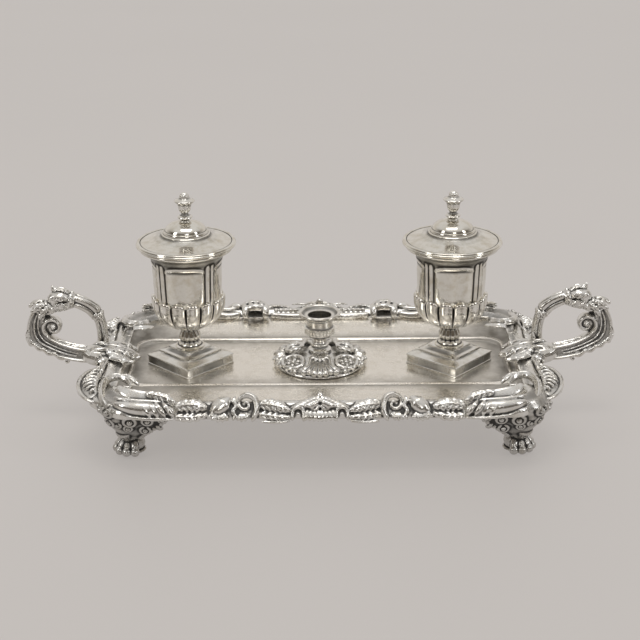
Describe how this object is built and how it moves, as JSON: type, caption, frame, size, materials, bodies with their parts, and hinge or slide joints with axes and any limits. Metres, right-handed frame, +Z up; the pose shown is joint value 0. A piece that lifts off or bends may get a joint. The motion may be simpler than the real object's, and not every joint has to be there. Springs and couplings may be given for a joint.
{
  "type": "footed double inkstand",
  "caption": "Footed oblong silver inkstand with covered urn inkwells, glass liners, a taper-candle holder between them, cast scroll border, paw feet and loop handles.",
  "frame": {"origin": "on the table surface under the middle of the tray", "axes": "+X along the tray to the right, +Y to the back, +Z up"},
  "size_m": [0.3806, 0.1794, 0.152],
  "materials": {
    "tray_sheet": "polished silver plate, softly worn",
    "cast_silver": "bright cast silver plate with dark oxidised recesses",
    "turned_silver": "mirror-polished silver plate with light tarnish",
    "liner_glass": "clear pressed glass",
    "brass_fixings": "plain turned brass, dulled"
  },
  "bodies": {
    "tray": {"border_back": "cast_silver", "border_front": "cast_silver", "border_left": "cast_silver", "border_right": "cast_silver", "corner_scroll_back_left": "cast_silver", "corner_scroll_back_right": "cast_silver", "corner_scroll_front_left": "cast_silver", "corner_scroll_front_right": "cast_silver", "foot_back_left": "cast_silver", "foot_back_right": "cast_silver", "foot_front_left": "cast_silver", "foot_front_right": "cast_silver", "handle_leaf_left": "cast_silver", "handle_leaf_right": "cast_silver", "handle_left": "cast_silver", "handle_right": "cast_silver", "taperstick_spigot": "brass_fixings", "tray_pan": "tray_sheet", "urn_body_left": "turned_silver", "urn_body_right": "turned_silver", "urn_calyx_left": "turned_silver", "urn_calyx_right": "turned_silver", "urn_nut_left": "brass_fixings", "urn_nut_right": "brass_fixings", "urn_plinth_left": "turned_silver", "urn_plinth_right": "turned_silver", "urn_stem_left": "turned_silver", "urn_stem_right": "turned_silver", "urn_tie_rod_left": "brass_fixings", "urn_tie_rod_right": "brass_fixings", "urn_washer_left": "brass_fixings", "urn_washer_right": "brass_fixings"},
    "liner_left": {"ink_liner_left": "liner_glass"},
    "lid_left": {"lid_left": "turned_silver", "lid_finial_left": "turned_silver", "finial_nut_left": "brass_fixings"},
    "liner_right": {"ink_liner_right": "liner_glass"},
    "lid_right": {"lid_right": "turned_silver", "lid_finial_right": "turned_silver", "finial_nut_right": "brass_fixings"},
    "taperstick": {"taperstick_base": "cast_silver", "taperstick_stem": "turned_silver", "taperstick_socket": "turned_silver"},
    "nozzle": {"taperstick_nozzle": "turned_silver"}
  },
  "joints": [
    {"name": "liner_left_lift", "type": "slide", "parent": "tray", "child": "liner_left", "axis": [0, 0, 1], "range_m": [0, 0.04]},
    {"name": "lid_left_lift", "type": "slide", "parent": "liner_left", "child": "lid_left", "axis": [0, 0, 1], "range_m": [0, 0.05]},
    {"name": "liner_right_lift", "type": "slide", "parent": "tray", "child": "liner_right", "axis": [0, 0, 1], "range_m": [0, 0.04]},
    {"name": "lid_right_lift", "type": "slide", "parent": "liner_right", "child": "lid_right", "axis": [0, 0, 1], "range_m": [0, 0.05]},
    {"name": "taperstick_lift", "type": "slide", "parent": "tray", "child": "taperstick", "axis": [0, 0, 1], "range_m": [0, 0.05]},
    {"name": "nozzle_lift", "type": "slide", "parent": "taperstick", "child": "nozzle", "axis": [0, 0, 1], "range_m": [0, 0.02]}
  ]
}
